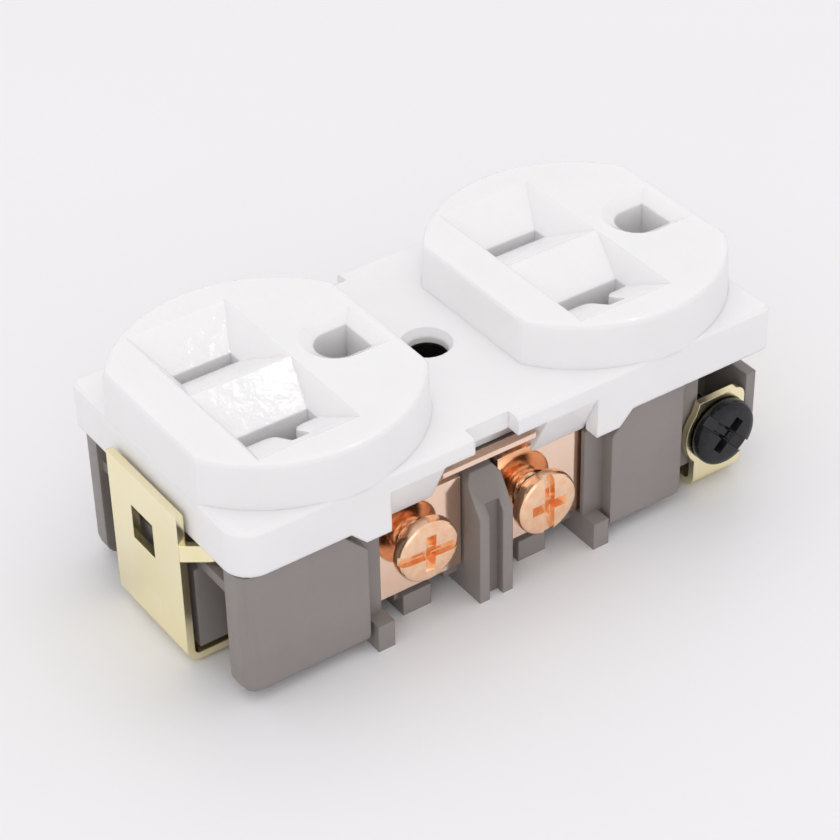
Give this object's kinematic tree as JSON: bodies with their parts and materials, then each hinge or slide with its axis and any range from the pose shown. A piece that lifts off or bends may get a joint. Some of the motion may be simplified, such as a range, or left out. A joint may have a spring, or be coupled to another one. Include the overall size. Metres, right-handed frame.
{
  "type": "duplex wall outlet",
  "caption": "Duplex wall outlet body with raised socket faces, side screw terminals, an earth terminal and a wrap-around metal strap.",
  "frame": {"origin": "centre of the plane the outlet lies on, under the feet of the moulded body", "axes": "+Z out of the socket faces, +X along the outlet towards the earth screw, -Y towards the neutral terminals"},
  "size_m": [0.0694, 0.0332, 0.0273],
  "materials": {
    "white_plastic": "moulded, semi-gloss",
    "grey_plastic": "moulded, satin",
    "brass": "bright stamped sheet",
    "contact_brass": "stamped",
    "copper": "mirror-bright copper-coloured sheet",
    "copper_screw": "copper-coloured plated steel",
    "steel_clamp": "zinc plated",
    "black_steel": "black oxide"
  },
  "bodies": {
    "housing": {"rear_body": "grey_plastic", "face_cover": "white_plastic", "mounting_strap": "brass", "cover_screw_post": "contact_brass", "neutral_bus": "copper", "hot_bus": "copper", "neutral_contact_left": "contact_brass", "neutral_contact_right": "contact_brass", "hot_contact_left": "contact_brass", "hot_contact_right": "contact_brass", "earth_contact_left": "contact_brass", "earth_contact_right": "contact_brass", "earth_rivet_left": "contact_brass", "earth_rivet_right": "contact_brass"},
    "neutral_clamp_left_body": {"neutral_clamp_left": "steel_clamp"},
    "neutral_screw_left_body": {"neutral_screw_left": "copper_screw"},
    "neutral_clamp_right_body": {"neutral_clamp_right": "steel_clamp"},
    "neutral_screw_right_body": {"neutral_screw_right": "copper_screw"},
    "hot_clamp_left_body": {"hot_clamp_left": "steel_clamp"},
    "hot_screw_left_body": {"hot_screw_left": "copper_screw"},
    "hot_clamp_right_body": {"hot_clamp_right": "steel_clamp"},
    "hot_screw_right_body": {"hot_screw_right": "copper_screw"},
    "earth_clamp_body": {"earth_clamp": "steel_clamp"},
    "earth_screw_body": {"earth_screw": "black_steel"}
  },
  "joints": [
    {"name": "neutral_left_clamp_slide", "type": "slide", "parent": "housing", "child": "neutral_clamp_left_body", "axis": [0, 1, 0], "range_m": [-0.00065, 0.00085]},
    {"name": "neutral_left_screw_turn", "type": "hinge", "parent": "neutral_clamp_left_body", "child": "neutral_screw_left_body", "pos_m": [-0.01105, -0.0155, 0.00975], "axis": [0, 1, 0], "range_deg": [-300, 392]},
    {"name": "neutral_right_clamp_slide", "type": "slide", "parent": "housing", "child": "neutral_clamp_right_body", "axis": [0, 1, 0], "range_m": [-0.00065, 0.00085]},
    {"name": "neutral_right_screw_turn", "type": "hinge", "parent": "neutral_clamp_right_body", "child": "neutral_screw_right_body", "pos_m": [0.0037, -0.0155, 0.00915], "axis": [0, 1, 0], "range_deg": [-300, 392]},
    {"name": "hot_left_clamp_slide", "type": "slide", "parent": "housing", "child": "hot_clamp_left_body", "axis": [0, -1, 0], "range_m": [-0.00065, 0.00085]},
    {"name": "hot_left_screw_turn", "type": "hinge", "parent": "hot_clamp_left_body", "child": "hot_screw_left_body", "pos_m": [-0.01105, 0.0155, 0.00975], "axis": [0, -1, 0], "range_deg": [-300, 392]},
    {"name": "hot_right_clamp_slide", "type": "slide", "parent": "housing", "child": "hot_clamp_right_body", "axis": [0, -1, 0], "range_m": [-0.00065, 0.00085]},
    {"name": "hot_right_screw_turn", "type": "hinge", "parent": "hot_clamp_right_body", "child": "hot_screw_right_body", "pos_m": [0.0037, 0.0155, 0.00915], "axis": [0, -1, 0], "range_deg": [-300, 392]},
    {"name": "earth_clamp_slide", "type": "slide", "parent": "housing", "child": "earth_clamp_body", "axis": [0, 1, 0], "range_m": [-0.0008, 0.00005]},
    {"name": "earth_screw_turn", "type": "hinge", "parent": "earth_clamp_body", "child": "earth_screw_body", "pos_m": [0.028, -0.0158, 0.0074], "axis": [0, 1, 0], "range_deg": [-368, 26]}
  ],
  "couplings": [
    {"joint": "neutral_left_screw_turn", "follows": "neutral_left_clamp_slide", "rad_per_m": 7915.8},
    {"joint": "neutral_right_screw_turn", "follows": "neutral_right_clamp_slide", "rad_per_m": 7915.8},
    {"joint": "hot_left_screw_turn", "follows": "hot_left_clamp_slide", "rad_per_m": 7915.8},
    {"joint": "hot_right_screw_turn", "follows": "hot_right_clamp_slide", "rad_per_m": 7915.8},
    {"joint": "earth_screw_turn", "follows": "earth_clamp_slide", "rad_per_m": 7915.8}
  ]
}
